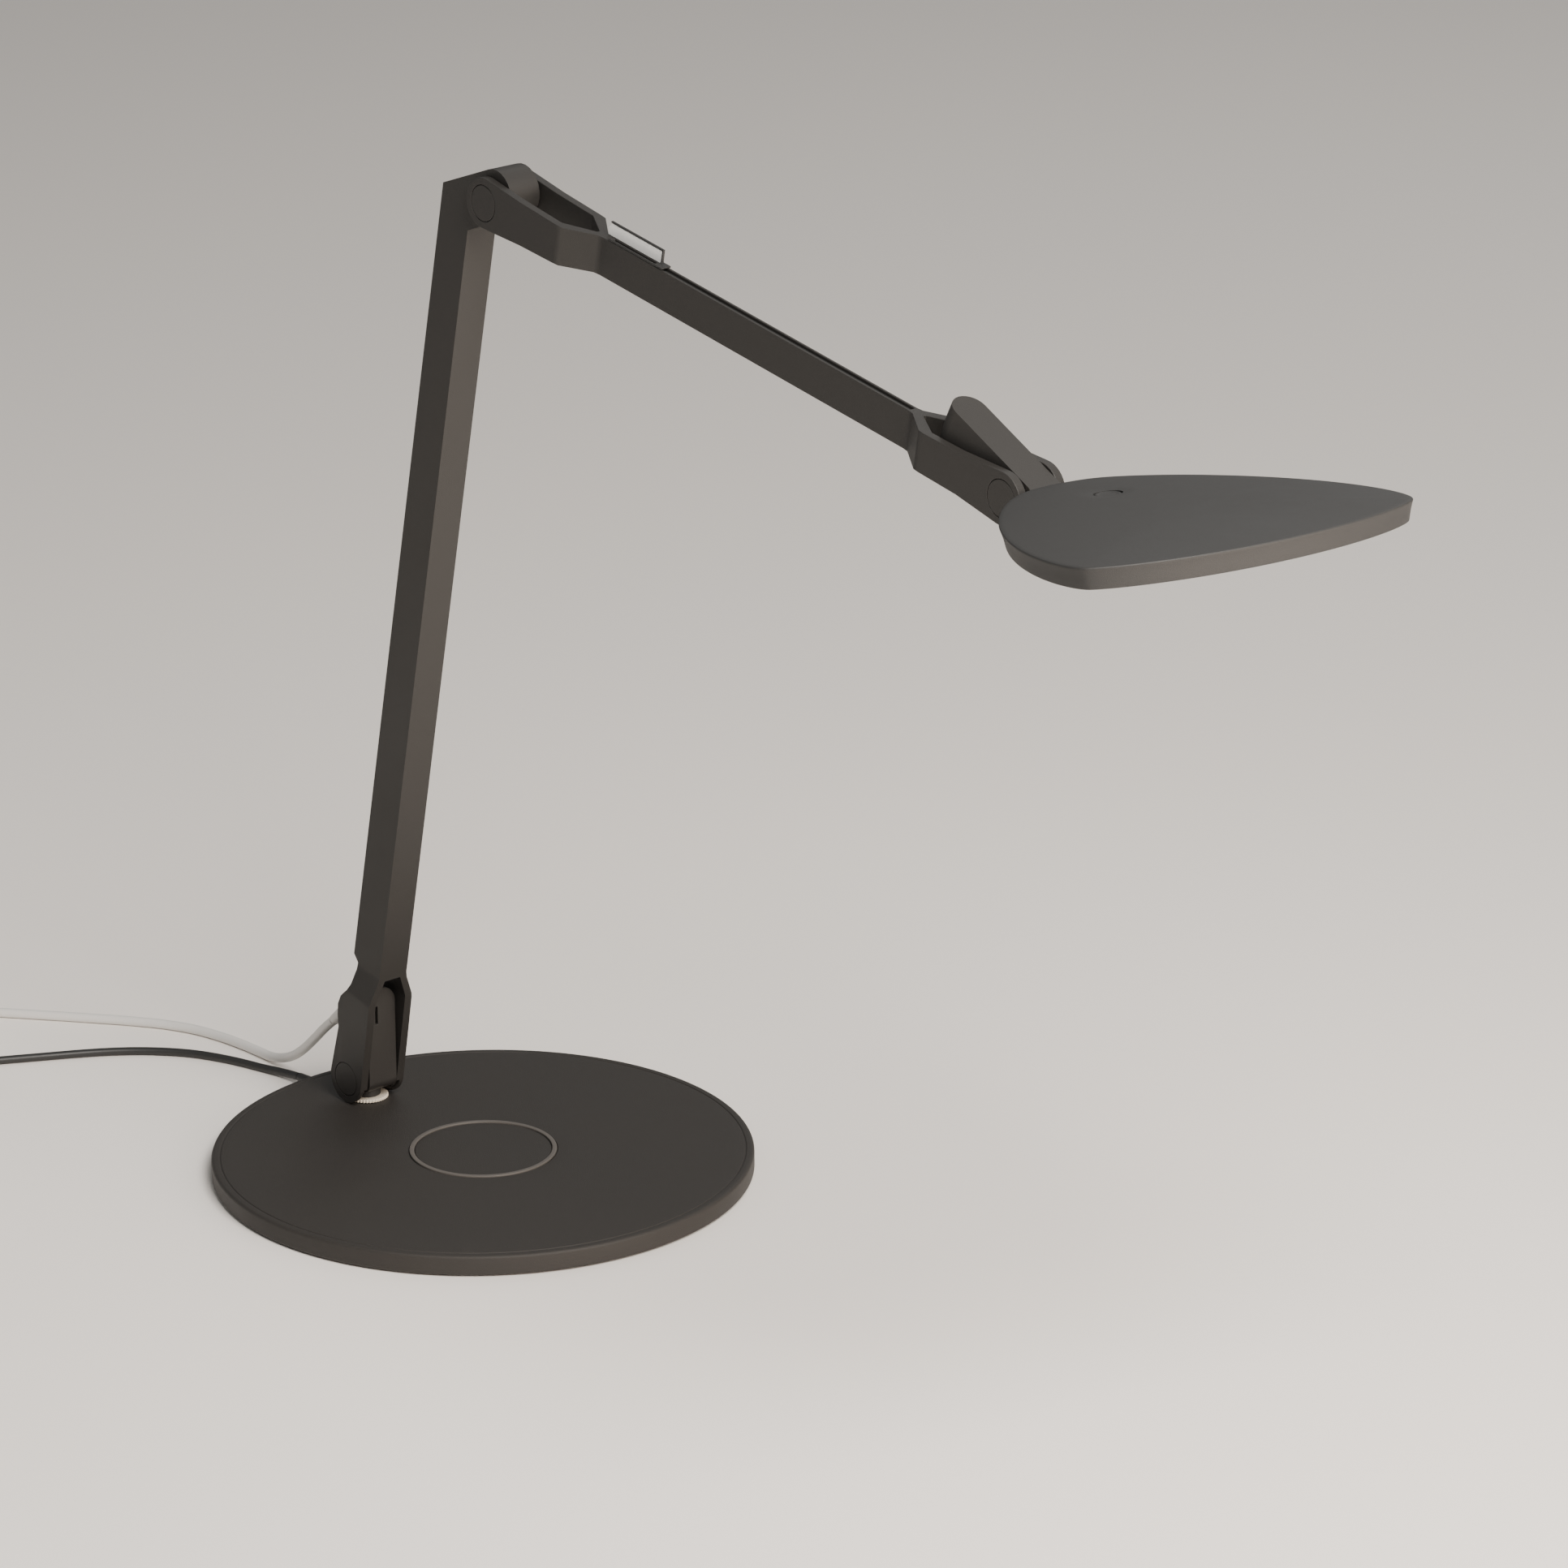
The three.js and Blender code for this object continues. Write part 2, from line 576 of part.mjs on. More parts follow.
const reliefDir = [-Math.cos(reliefDown * DEG), -Math.sin(reliefDown * DEG)];
const lampCordStart = [bx - 4 + 24.4 * reliefDir[0], 0, bz + 33 + 24.4 * reliefDir[1]];
const along = (d) => [lampCordStart[0] + d * reliefDir[0], 0, lampCordStart[2] + d * reliefDir[1]];
const LAMP_Z = LAMP_CORD_D / 2 + 0.1;
const lampRoute = [
  along(0), along(8), [-117.5, 1.0, 23.5], [-127, 2.4, 15.8], [-137, 4.2, 9.4], [-147, 5.8, 5.0],
  [-157, 6.8, 2.6],
  [-167, 7, LAMP_Z], [-178, 6.6, LAMP_Z], [-192, 5, LAMP_Z], [-206, 1.5, LAMP_Z], [-219, -4.5, LAMP_Z],
  [-232, -13, LAMP_Z], [-245, -23, LAMP_Z], [-258, -33.3, LAMP_Z], [-270, -43, LAMP_Z], [-281, -52.1, LAMP_Z],
  [-292.5, -61.7, LAMP_Z],
];
add('lamp_cord', tube(lampRoute, LAMP_CORD_D, 8, 60), whitePvc);

add('base_cord_gland', solid(turnedY([
  [0, 0], [2.7, 0], [2.7, 6], [2.4, 10], [2.0, 18], [0, 18],
], 16).rotateZ(Math.PI / 2).translate(-109, 0, EXIT_H)), blackPvc);
const BASE_Z = BASE_CORD_D / 2 + 0.1;
const baseRoute = [
  [-127.3, 0, EXIT_H], [-133, -0.2, EXIT_H - 0.5], [-140, -1, 2.5], [-150, -3, BASE_Z], [-161, -6, BASE_Z],
  [-172, -10, BASE_Z], [-183, -15.5, BASE_Z], [-193, -23, BASE_Z], [-202, -32, BASE_Z], [-210, -42.5, BASE_Z],
  [-217, -54, BASE_Z], [-223.5, -66, BASE_Z], [-230, -78, BASE_Z], [-237, -91.3, BASE_Z],
  [-243.7, -104, BASE_Z], [-250.2, -116.2, BASE_Z],
];
add('base_cord', tube(baseRoute, BASE_CORD_D, 8, 50), blackPvc);

for (const [name, c, material] of [
  ['lamp_cord_coil', LAMP_COIL, whitePvc],
  ['base_cord_coil', BASE_COIL, blackPvc],
]) {
  add(name, upright(c.at[0], c.at[1], ringProfile(c.rIn, c.rOut, 0.1, c.high), 32), material);
}

// Wall plug on the lamp's cord: a sleeve, a rounded body and two flat pins, lying beside its coil.
function roundedBox(cx, cy, lx, ly, r, z0, z1) {
  const [px, py] = [lx / 2 - r, ly / 2 - r];
  return solid(plateXY([
    ...arc(cx + px, cy + py, r, 0, 90, 5), ...arc(cx - px, cy + py, r, 90, 180, 5),
    ...arc(cx - px, cy - py, r, 180, 270, 5), ...arc(cx + px, cy - py, r, 270, 360, 5),
  ], z0, z1));
}
const PLUG_X = LAMP_COIL.at[0] - LAMP_COIL.rOut - 2.2;
const PLUG_Y = LAMP_COIL.at[1] - 30.5;
const PLUG_Z = 9.2;
const plugSleeve = solid(turnedY([[0, 0], [3.2, 0], [4.2, 13], [0, 13]], 16)
  .rotateX(Math.PI).rotateX(-0.42).translate(PLUG_X, PLUG_Y, 3.5));
add('lamp_plug', join(
  cut(plugSleeve, block(-400, -200, -300, 0, -5, 0.2)),
  roundedBox(PLUG_X, PLUG_Y - 27, 23, 32, 4, 0.2, 18.2),
), whitePvc);
for (const [side, dx] of [['a', -6.35], ['b', 6.35]]) {
  add('lamp_plug_pin_' + side, block(
    PLUG_X + dx - 0.75, PLUG_X + dx + 0.75, PLUG_Y - 60, PLUG_Y - 43.3, PLUG_Z - 3.2, PLUG_Z + 3.2,
  ), steel);
}

// Flat connector on the base's cord: a moulded grip and a hollow metal shell.
const USB_Y = BASE_COIL.at[1] - BASE_COIL.rOut - 1.7;
const USB_X = BASE_COIL.at[0] + 30;
add('base_plug', join(
  solid(turnedY([[0, 0], [2.4, 0], [3.2, 10], [0, 10]], 16).rotateZ(-Math.PI / 2).translate(USB_X, USB_Y, 3.6)),
  roundedBox(USB_X + 21, USB_Y, 24, 15, 2, 0.2, 7.6),
), blackPvc);
add('base_plug_shell', cut(
  block(USB_X + 33.3, USB_X + 47, USB_Y - 6, USB_Y + 6, 1.7, 6.2),
  block(USB_X + 36, USB_X + 50, USB_Y - 5.6, USB_Y + 5.6, 4, 5.8),
), steel);

export default lamp;
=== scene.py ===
import math

import bmesh
import bpy
from mathutils import Matrix, Vector


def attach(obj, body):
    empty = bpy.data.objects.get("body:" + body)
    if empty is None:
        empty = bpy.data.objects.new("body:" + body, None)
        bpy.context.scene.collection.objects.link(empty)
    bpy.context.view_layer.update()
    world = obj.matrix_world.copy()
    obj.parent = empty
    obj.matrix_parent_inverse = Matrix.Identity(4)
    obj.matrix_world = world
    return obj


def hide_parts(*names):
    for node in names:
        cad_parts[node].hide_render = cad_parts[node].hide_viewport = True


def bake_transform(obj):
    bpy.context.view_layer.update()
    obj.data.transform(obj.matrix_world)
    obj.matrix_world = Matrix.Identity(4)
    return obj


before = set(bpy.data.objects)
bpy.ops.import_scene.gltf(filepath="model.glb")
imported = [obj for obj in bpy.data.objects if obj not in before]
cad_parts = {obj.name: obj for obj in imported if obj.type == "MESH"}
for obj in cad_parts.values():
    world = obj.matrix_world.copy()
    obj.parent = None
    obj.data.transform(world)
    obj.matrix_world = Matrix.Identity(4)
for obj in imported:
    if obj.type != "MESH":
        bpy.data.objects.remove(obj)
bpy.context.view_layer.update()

MM = 0.001
DEG = math.pi / 180

# Key places of the frame, in millimetres
SWIVEL_X = -78.7
BASE_PIVOT = (-78.7, 20.2)
ELBOW_PIVOT = (25.4, 425.3)
HEAD_PIVOT = (327.3, 372.2)
BASE_R = 114
BASE_TOP = 9.2
CHARGE_RING_R = 31
CAP_R = 7.3
TEETH = 40
TOOTH_DEEP = 0.45
TOOTH_FROM_R = 8.2
FORK_HALF = 11.6
HEAD_TILT = 7
HEAD_TURN = -10.5
HEAD_SWIVEL_AT = 26
HEAD_RIM = 4.5
HEAD_LOW = -4.0
HEAD_CROWN = 2.6
HEAD_CENTRE = 71.1
HEAD_MEAN_R = 74.4
HEAD_LOBES = {2: 0.8, 3: -9.4, 4: -1.35, 5: 0.5, 6: -0.7}
BUTTON_AT = 25
BUTTON_HOLE_R = 5.5
BUTTON_R = 4.9
DIMPLE_DEEP = 0.42
DIMPLE_R = 7.6
KEEP_REAR = 12.5


# ---------- camera ----------

def make_camera():
    """The camera, placed in metres and turned by azimuth, elevation and roll."""
    at = Vector((2.1022, -1.6703, 1.1187))
    azimuth, elevation, roll = 48.825 * DEG, 19.453 * DEG, -0.153 * DEG
    right = Vector((math.cos(azimuth), math.sin(azimuth), 0))
    back = Vector((
        math.sin(azimuth) * math.cos(elevation),
        -math.cos(azimuth) * math.cos(elevation),
        math.sin(elevation),
    ))
    up = back.cross(right)
    right2 = math.cos(roll) * right + math.sin(roll) * up
    up2 = -math.sin(roll) * right + math.cos(roll) * up
    data = bpy.data.cameras.new("camera")
    data.sensor_width = 36
    data.lens = 8500 / 1932 * 36
    data.clip_start = 0.05
    data.clip_end = 50
    camera = bpy.data.objects.new("camera", data)
    bpy.context.scene.collection.objects.link(camera)
    turn = Matrix((right2, up2, back)).transposed().to_4x4()
    camera.matrix_world = Matrix.Translation(at) @ turn
    bpy.context.scene.camera = camera


make_camera()


# ---------- materials ----------

def new_material(name):
    """A material with its nodes, links and main shader."""
    material = bpy.data.materials.new(name)
    material.use_nodes = True
    nodes, links = material.node_tree.nodes, material.node_tree.links
    shader = nodes["Principled BSDF"]
    return material, nodes, links, shader


def surface(name, colour, roughness, metallic=0.0, grain=900, bump=0.02, vary=0.08,
            rough_vary=0.06, specular=0.5, stretch=(1, 1, 1), dust=0.0):
    """A procedural surface: fine grain in the normal, soft variation in colour and gloss."""
    material, nodes, links, shader = new_material(name)
    shader.inputs["Metallic"].default_value = metallic
    shader.inputs["Specular IOR Level"].default_value = specular
    place = nodes.new("ShaderNodeTexCoord")
    mapping = nodes.new("ShaderNodeMapping")
    mapping.inputs["Scale"].default_value = stretch
    links.new(place.outputs["Object"], mapping.inputs["Vector"])

    fine = nodes.new("ShaderNodeTexNoise")
    fine.inputs["Scale"].default_value = grain
    fine.inputs["Detail"].default_value = 4
    fine.inputs["Roughness"].default_value = 0.6
    links.new(mapping.outputs["Vector"], fine.inputs["Vector"])
    normal = nodes.new("ShaderNodeBump")
    normal.inputs["Strength"].default_value = bump
    normal.inputs["Distance"].default_value = 0.001
    links.new(fine.outputs["Fac"], normal.inputs["Height"])
    links.new(normal.outputs["Normal"], shader.inputs["Normal"])

    broad = nodes.new("ShaderNodeTexNoise")
    broad.inputs["Scale"].default_value = 14
    broad.inputs["Detail"].default_value = 5
    links.new(place.outputs["Object"], broad.inputs["Vector"])
    ramp = nodes.new("ShaderNodeValToRGB")
    low, high = ramp.color_ramp.elements
    low.position, high.position = 0.3, 0.7
    low.color = (*[c * (1 - vary) for c in colour], 1)
    high.color = (*[min(1, c * (1 + vary) + dust) for c in colour], 1)
    speck = nodes.new("ShaderNodeMath")
    speck.operation = "MULTIPLY_ADD"
    speck.inputs[1].default_value = 0.35
    links.new(fine.outputs["Fac"], speck.inputs[0])
    shade = nodes.new("ShaderNodeMath")
    shade.operation = "MULTIPLY"
    shade.inputs[1].default_value = 0.65
    links.new(broad.outputs["Fac"], shade.inputs[0])
    links.new(shade.outputs["Value"], speck.inputs[2])
    links.new(speck.outputs["Value"], ramp.inputs["Fac"])
    links.new(ramp.outputs["Color"], shader.inputs["Base Color"])

    gloss = nodes.new("ShaderNodeMapRange")
    gloss.inputs["From Min"].default_value = 0.3
    gloss.inputs["From Max"].default_value = 0.7
    gloss.inputs["To Min"].default_value = max(0.02, roughness - rough_vary)
    gloss.inputs["To Max"].default_value = min(1, roughness + rough_vary)
    links.new(broad.outputs["Fac"], gloss.inputs["Value"])
    links.new(gloss.outputs["Result"], shader.inputs["Roughness"])
    return material


def worn_edges(material, colour, amount=0.15, at=0.55):
    """Lets the ground metal or worn coat show faintly along convex edges."""
    nodes, links = material.node_tree.nodes, material.node_tree.links
    shader = nodes["Principled BSDF"]
    coat = shader.inputs["Base Color"].links[0].from_socket
    geometry = nodes.new("ShaderNodeNewGeometry")
    edge = nodes.new("ShaderNodeMapRange")
    edge.inputs["From Min"].default_value = at
    edge.inputs["From Max"].default_value = at + 0.12
    edge.inputs["To Max"].default_value = amount
    links.new(geometry.outputs["Pointiness"], edge.inputs["Value"])
    mix = nodes.new("ShaderNodeMix")
    mix.data_type = "RGBA"
    mix.inputs["B"].default_value = (*colour, 1)
    links.new(edge.outputs["Result"], mix.inputs["Factor"])
    links.new(coat, mix.inputs["A"])
    links.new(mix.outputs["Result"], shader.inputs["Base Color"])
    return material


def paint(name, colour, worn, roughness, **look):
    """Powder coat, a little paler along its convex edges."""
    return worn_edges(surface(name, colour, roughness, **look), worn)


mat = {
    "dark_paint": paint(
        "dark_paint", (0.021, 0.0195, 0.018), (0.05, 0.047, 0.044), 0.52,
        grain=2600, bump=0.16, vary=0.1, specular=0.42),
    "head_paint": paint(
        "head_paint", (0.025, 0.025, 0.025), (0.06, 0.06, 0.06), 0.56,
        grain=2600, bump=0.13, vary=0.07, specular=0.33),
    "base_paint": paint(
        "base_paint", (0.023, 0.0205, 0.0185), (0.05, 0.045, 0.04), 0.6,
        grain=2200, bump=0.2, vary=0.09, specular=0.4),
}
for name, colour, roughness, look in (
    ("cast_steel", (0.11, 0.11, 0.11), 0.6, {"metallic": 0.9, "grain": 500, "bump": 0.4, "vary": 0.2}),
    ("steel", (0.42, 0.42, 0.43), 0.3,
     {"metallic": 1.0, "grain": 400, "bump": 0.08, "vary": 0.12, "stretch": (1, 1, 14)}),
    ("dark_plastic", (0.017, 0.017, 0.017), 0.55, {"grain": 3200, "bump": 0.18, "vary": 0.1}),
    ("pale_plastic", (0.62, 0.56, 0.47), 0.42, {"grain": 1500, "bump": 0.08, "vary": 0.05}),
    ("ring_grey", (0.085, 0.077, 0.07), 0.55, {"grain": 2400, "bump": 0.12, "vary": 0.08}),
    ("rubber", (0.018, 0.018, 0.018), 0.85, {"grain": 1200, "bump": 0.3, "vary": 0.2, "dust": 0.004}),
    ("white_pvc", (0.66, 0.65, 0.63), 0.38, {"grain": 1100, "bump": 0.05, "vary": 0.04}),
    ("black_pvc", (0.016, 0.016, 0.016), 0.45, {"grain": 1400, "bump": 0.06, "vary": 0.12}),
    ("board", (0.03, 0.12, 0.05), 0.45, {"grain": 300, "bump": 0.05, "vary": 0.2}),
    ("copper", (0.55, 0.24, 0.11), 0.3, {"metallic": 1.0, "grain": 700, "bump": 0.1, "vary": 0.1}),
    ("diffuser", (0.82, 0.81, 0.78), 0.5, {"grain": 1800, "bump": 0.06, "vary": 0.03}),
    ("tag_white", (0.93, 0.93, 0.92), 0.5, {"grain": 700, "bump": 0.05, "vary": 0.04}),
):
    mat[name] = surface(name, colour, roughness, **look)
cord_jacket = mat["white_pvc"].node_tree.nodes["Principled BSDF"]
cord_jacket.inputs["Subsurface Weight"].default_value = 0.12
cord_jacket.inputs["Subsurface Radius"].default_value = (0.002, 0.002, 0.0018)


# ---------- making pieces ----------

def shade(mesh, angle=32):
    """Smooth faces, with edges sharper than the angle kept crisp."""
    for polygon in mesh.polygons:
        polygon.use_smooth = True
    mesh.set_sharp_from_angle(angle=angle * DEG)


def place(piece, body, slot, stands_for=()):
    """Gives a piece its material slot and body, and lets it stand for its CAD nodes."""
    piece.data.materials.clear()
    piece.data.materials.append(mat[slot])
    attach(piece, body)
    if stands_for:
        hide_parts(*stands_for)
    return piece


def mesh_piece(name, verts, faces, angle=32, move=None):
    """A piece from points in millimetres, moved into place."""
    mesh = bpy.data.meshes.new(name)
    mesh.from_pydata([Vector(v) * MM for v in verts], [], faces)
    work = bmesh.new()
    work.from_mesh(mesh)
    bmesh.ops.remove_doubles(work, verts=work.verts, dist=1e-6)
    bmesh.ops.recalc_face_normals(work, faces=work.faces)
    work.to_mesh(mesh)
    work.free()
    if move is not None:
        mesh.transform(move)
    shade(mesh, angle)
    piece = bpy.data.objects.new(name, mesh)
    bpy.context.scene.collection.objects.link(piece)
    return piece


def apply_modifiers(piece):
    """Bakes the modifiers into the mesh."""
    evaluated = piece.evaluated_get(bpy.context.evaluated_depsgraph_get())
    mesh = bpy.data.meshes.new_from_object(evaluated)
    piece.modifiers.clear()
    piece.data = mesh
    return piece


def bevelled(piece, width, segments=3, angle=30):
    """Rounds the edges and keeps the flat faces evenly shaded."""
    bevel = piece.modifiers.new("bevel", "BEVEL")
    bevel.width = width * MM
    bevel.segments = segments
    bevel.limit_method = "ANGLE"
    bevel.angle_limit = angle * DEG
    weighted = piece.modifiers.new("weighted", "WEIGHTED_NORMAL")
    weighted.weight = 100
    weighted.keep_sharp = True
    shade(piece.data, 75)
    apply_modifiers(piece)
    return piece


def refined(node, body, slot, width=0.45, segments=3, angle=30):
    """A piece with the node's form whose flat faces are whole and whose edges are rounded."""
    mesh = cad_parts[node].data.copy()
    mesh.transform(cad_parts[node].matrix_world)
    work = bmesh.new()
    work.from_mesh(mesh)
    bmesh.ops.remove_doubles(work, verts=work.verts, dist=2e-6)
    bmesh.ops.dissolve_limit(
        work, angle_limit=1.2 * DEG, verts=work.verts, edges=work.edges, use_dissolve_boundaries=False,
    )
    work.to_mesh(mesh)
    work.free()
    piece = bpy.data.objects.new(node + "_finished", mesh)
    bpy.context.scene.collection.objects.link(piece)
    if width:
        bevelled(piece, width, segments, angle)
    else:
        shade(piece.data)
    return place(piece, body, slot, [node])


def rounded(profile, radius, steps=5):
    """Rounds the corners of a profile; radius is one number or one for each point."""
    radii = radius if isinstance(radius, (list, tuple)) else [radius] * len(profile)
    out = []
    for i, point in enumerate(profile):
        p = Vector(point)
        if i in (0, len(profile) - 1) or radii[i] <= 0:
            out.append(tuple(p))
            continue
        before, after = Vector(profile[i - 1]) - p, Vector(profile[i + 1]) - p
        reach = min(radii[i], 0.48 * before.length, 0.48 * after.length)
        a, b = p + before.normalized() * reach, p + after.normalized() * reach
        for k in range(steps + 1):
            t = k / steps
            out.append(tuple((1 - t) ** 2 * a + 2 * t * (1 - t) * p + t * t * b))
    return out


def turned(name, profile, move, segments=96, ripple=None, angle=32):
    """A turned piece about +Z of its own frame. The profile is [(radius, height)...] with both ends
    on the axis, or a ring where it closes on itself."""
    closed = profile[0] == profile[-1]
    rows = profile[:-1] if closed else profile
    verts, faces, index = [], [], []
    for r, h in rows:
        if r < 1e-6:
            index.append([len(verts)])
            verts.append((0, 0, h))
            continue
        index.append(list(range(len(verts), len(verts) + segments)))
        for i in range(segments):
            a = 2 * math.pi * i / segments
            rr = r + (ripple(r, a) if ripple else 0)
            verts.append((rr * math.cos(a), rr * math.sin(a), h))
    pairs = list(zip(index, index[1:] + index[:1])) if closed else list(zip(index, index[1:]))
    for low, high in pairs:
        for i in range(segments):
            j = (i + 1) % segments
            if len(low) == 1 and len(high) == 1:
                continue
            if len(low) == 1:
                faces.append((low[0], high[j], high[i]))
            elif len(high) == 1:
                faces.append((low[i], low[j], high[0]))
            else:
                faces.append((low[i], low[j], high[j], high[i]))
    return mesh_piece(name, verts, faces, angle, move)


def at_mm(x, y, z):
    """A shift, given in millimetres."""
    return Matrix.Translation(Vector((x, y, z)) * MM)


def facing(direction, at):
    """A frame whose +Z points along the direction, at a point in millimetres."""
    turn = Vector(direction).to_track_quat("Z", "Y").to_matrix().to_4x4()
    return at_mm(*at) @ turn


def smooth_path(points, step=1.5):
    """A centripetal Catmull-Rom line through the points, sampled about every step millimetres."""
    p = [Vector(v) for v in points]
    p = [2 * p[0] - p[1]] + p + [2 * p[-1] - p[-2]]
    out = []
    for i in range(1, len(p) - 2):
        p0, p1, p2, p3 = p[i - 1], p[i], p[i + 1], p[i + 2]
        t0 = 0
        t1 = t0 + (p1 - p0).length ** 0.5
        t2 = t1 + (p2 - p1).length ** 0.5
        t3 = t2 + (p3 - p2).length ** 0.5
        n = max(2, round((p2 - p1).length / step))
        for k in range(n):
            t = t1 + (t2 - t1) * k / n
            a1 = (t1 - t) / (t1 - t0) * p0 + (t - t0) / (t1 - t0) * p1
            a2 = (t2 - t) / (t2 - t1) * p1 + (t - t1) / (t2 - t1) * p2
            a3 = (t3 - t) / (t3 - t2) * p2 + (t - t2) / (t3 - t2) * p3
            b1 = (t2 - t) / (t2 - t0) * a1 + (t - t0) / (t2 - t0) * a2
            b2 = (t3 - t) / (t3 - t1) * a2 + (t - t1) / (t3 - t1) * a3
            out.append((t2 - t) / (t2 - t1) * b1 + (t - t1) / (t2 - t1) * b2)
    out.append(p[-2])
    return out


def tube(name, path, diameter, sides=14):
    """A closed tube along a path in millimetres, carried round its bends without twist."""
    verts, faces = [], []
    side = None
    for i, point in enumerate(path):
        ahead = path[min(i + 1, len(path) - 1)] - path[max(i - 1, 0)]
        ahead.normalize()
        if side is None:
            side = ahead.orthogonal().normalized()
        side = (side - ahead * side.dot(ahead)).normalized()
        other = ahead.cross(side)
        for k in range(sides):
            a = 2 * math.pi * k / sides
            verts.append(point + (side * math.cos(a) + other * math.sin(a)) * diameter / 2)
    for i in range(len(path) - 1):
        for k in range(sides):
            j = (k + 1) % sides
            a, b = i * sides, (i + 1) * sides
            faces.append((a + k, a + j, b + j, b + k))
    faces.append(tuple(range(sides - 1, -1, -1)))
    last = (len(path) - 1) * sides
    faces.append(tuple(range(last, last + sides)))
    return mesh_piece(name, verts, faces, 60)


# ---------- cords ----------

def wound(centre, r_out, r_in, d, z0, start, levels, top_end, drop_from, drop_to, clear):
    """A coil in whole levels, spiralling in and out by turns, one diameter apart. It then goes round
    on the top level to top_end, and comes down outside the coil to lie beside it."""
    points = []
    lane = r_out
    angle = start
    z = z0
    step = 12

    def add(a, r, height):
        x, y = r * math.cos(a * DEG), r * math.sin(a * DEG)
        points.append(Vector((centre[0] + x, centre[1] + y, height)))

    for level in range(levels):
        goal = r_in if level % 2 == 0 else r_out
        n = 720 // step
        for k in range(n):
            add(angle + k * step, lane + (goal - lane) * k / n, z)
        angle += 720
        lane = goal
        for k in range(60 // step):
            t = k * step / 60
            add(angle + k * step, lane, z + d * t * t * (3 - 2 * t))
        angle += 60
        z += d
    end = top_end + 360 * math.ceil((angle - top_end) / 360)
    a = angle
    while a < end:
        add(a, lane, z)
        a += step
    low = drop_to + 360 * math.ceil((end - drop_to) / 360)
    out_from = end
    n = max(8, round((low - out_from) / 6))
    for k in range(n + 1):
        t = k / n
        aa = out_from + (low - out_from) * t
        out = min(1, t / 0.4)
        r = lane + (clear - lane) * out * out * (3 - 2 * out)
        fall = max(0, (t - drop_from) / (1 - drop_from))
        zz = z + (z0 + 4.5 - z) * fall * fall * (3 - 2 * fall) * 0.72
        add(aa, r, zz)
    return points


RELIEF_DOWN = 40 * DEG
back_down = Vector((-math.cos(RELIEF_DOWN), 0, -math.sin(RELIEF_DOWN)))
RELIEF_FROM = Vector((BASE_PIVOT[0] - 4, 0, BASE_PIVOT[1] + 33))
LAMP_D = 4.2
BASE_D = 3.5
LAMP_Z = LAMP_D / 2 + 0.1
BASE_Z = BASE_D / 2 + 0.1
lamp_start = RELIEF_FROM + 24.4 * back_down

lamp_route = [
    lamp_start, lamp_start + 8 * back_down, (-117.5, 1.0, 23.5), (-127, 2.4, 15.8), (-137, 4.2, 9.4),
    (-147, 5.8, 5.0), (-157, 6.8, 2.6), (-167, 7, LAMP_Z), (-178, 6.6, LAMP_Z), (-192, 5, LAMP_Z),
    (-206, 1.5, LAMP_Z), (-219, -4.5, LAMP_Z), (-232, -13, LAMP_Z), (-245, -23, LAMP_Z),
    (-258, -33.3, LAMP_Z), (-270, -43, LAMP_Z), (-281, -52.1, LAMP_Z), (-292.5, -61.7, LAMP_Z),
]
base_route = [
    (-127.3, 0, 3.6), (-133, -0.2, 3.1), (-140, -1, 2.5), (-150, -3, BASE_Z), (-161, -6, BASE_Z),
    (-172, -10, BASE_Z), (-183, -15.5, BASE_Z), (-193, -23, BASE_Z), (-202, -32, BASE_Z),
    (-210, -42.5, BASE_Z), (-217, -54, BASE_Z), (-223.5, -66, BASE_Z), (-230, -78, BASE_Z),
    (-237, -91.3, BASE_Z), (-243.7, -104, BASE_Z), (-250.2, -116.2, BASE_Z),
]
LAMP_COIL = (-286.2, -94.6)
BASE_COIL = (-235, -140)
PLUG_AT = (LAMP_COIL[0] - 33.8, LAMP_COIL[1] - 30.5)
USB_AT = (BASE_COIL[0] + 30, BASE_COIL[1] - 28.3)

lamp_coil = wound(LAMP_COIL, 29.4, 21.0, LAMP_D, LAMP_Z, 129.8, 4, 100, 0.32, 180, 33.8)
base_coil = wound(BASE_COIL, 24.7, 17.75, BASE_D, BASE_Z, 151.6, 4, 190, 0.32, 270, 28.3)
lamp_tail = [(PLUG_AT[0], PLUG_AT[1] + y, z) for y, z in ((12, 6.2), (1, 3.6), (-3, 3.4))]
base_tail = [(USB_AT[0] + x, USB_AT[1], z) for x, z in ((-12, 4.6), (-1, 3.6), (3, 3.6))]

lamp_path = smooth_path(lamp_route + lamp_coil + lamp_tail)
base_path = smooth_path(base_route + base_coil + base_tail)
lamp_cord = tube("lamp_lead", lamp_path, LAMP_D)
base_cord = tube("base_lead", base_path, BASE_D)
for cord, slot, nodes in (
    (lamp_cord, "white_pvc", ("lamp_cord", "lamp_cord_coil")),
    (base_cord, "black_pvc", ("base_cord", "base_cord_coil")),
):
    cord.data.materials.append(mat[slot])
    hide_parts(*nodes)
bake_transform(lamp_cord)
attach(base_cord, "base")


